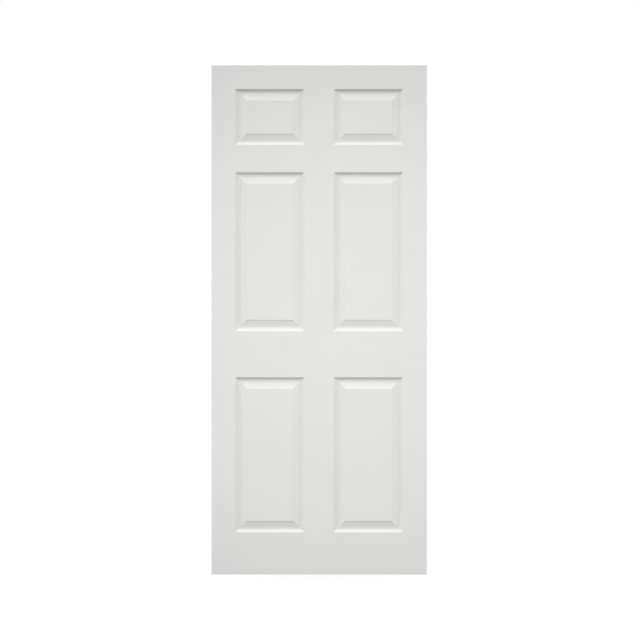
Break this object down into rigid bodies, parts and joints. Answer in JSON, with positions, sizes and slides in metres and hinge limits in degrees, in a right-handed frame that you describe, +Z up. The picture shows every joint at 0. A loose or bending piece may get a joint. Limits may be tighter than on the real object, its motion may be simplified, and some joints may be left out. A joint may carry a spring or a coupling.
{
  "type": "interior door leaf",
  "caption": "White moulded panel door leaf for indoor use: pressed fibreboard skins with raised fields over a softwood frame, lock blocks and a paper honeycomb core.",
  "frame": {"origin": "middle of the bottom edge, on the line the leaf stands on", "axes": "+Z up the leaf, +X across its width towards the lock edge, +Y through its thickness towards the back face"},
  "size_m": [0.838, 0.035, 1.981],
  "materials": {
    "painted_fibreboard": "satin",
    "primed_softwood": "matte",
    "softwood": "matte",
    "kraft_paper": "matte",
    "steel_wire": "satin"
  },
  "bodies": {
    "root": {"front_skin": "painted_fibreboard", "back_skin": "painted_fibreboard", "left_stile": "primed_softwood", "right_stile": "primed_softwood", "top_rail": "primed_softwood", "bottom_rail": "primed_softwood", "left_lock_block": "softwood", "right_lock_block": "softwood", "honeycomb_core": "kraft_paper", "corner_staples": "steel_wire"}
  },
  "joints": []
}
